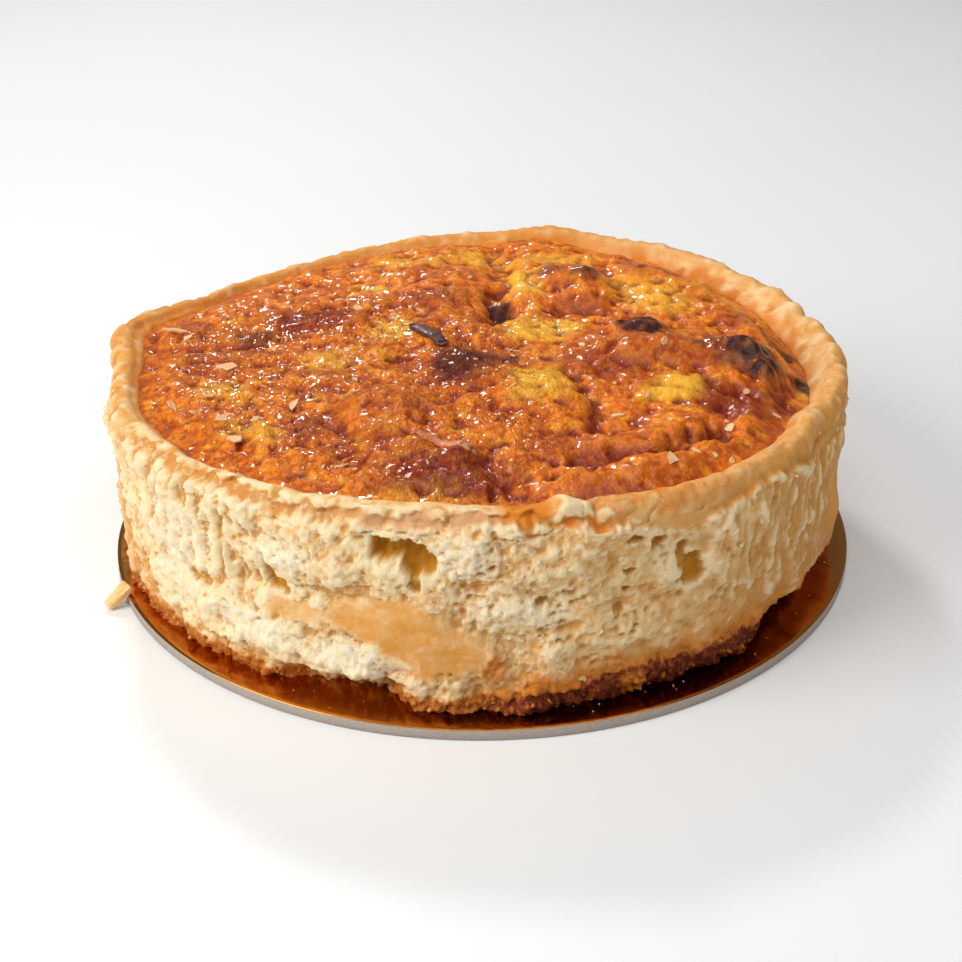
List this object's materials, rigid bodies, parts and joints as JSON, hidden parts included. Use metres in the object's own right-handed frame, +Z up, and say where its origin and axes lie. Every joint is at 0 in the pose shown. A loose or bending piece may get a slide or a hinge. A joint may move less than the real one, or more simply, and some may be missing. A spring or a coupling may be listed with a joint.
{
  "type": "quiche",
  "caption": "Deep round quiche: a tall flaky pastry case with a rolled rim, browned lumpy cheese filling, on its foil-faced round cake card.",
  "frame": {"origin": "centre of the cake card's flat underside, on the surface that the quiche stands on", "axes": "+Z up through the middle of the quiche, -Y towards its front, +X towards its right side as seen from the front"},
  "size_m": [0.205, 0.2032, 0.0614],
  "materials": {
    "cake_card": "thin gold foil over a grey board core, smooth and reflective on top, matt fibrous edge",
    "crust": null,
    "filling": null,
    "pastry_chip": null
  },
  "bodies": {
    "root": {"cake_card": "cake_card", "crust": "crust", "filling": "filling", "pastry_chip": "pastry_chip"}
  },
  "joints": []
}
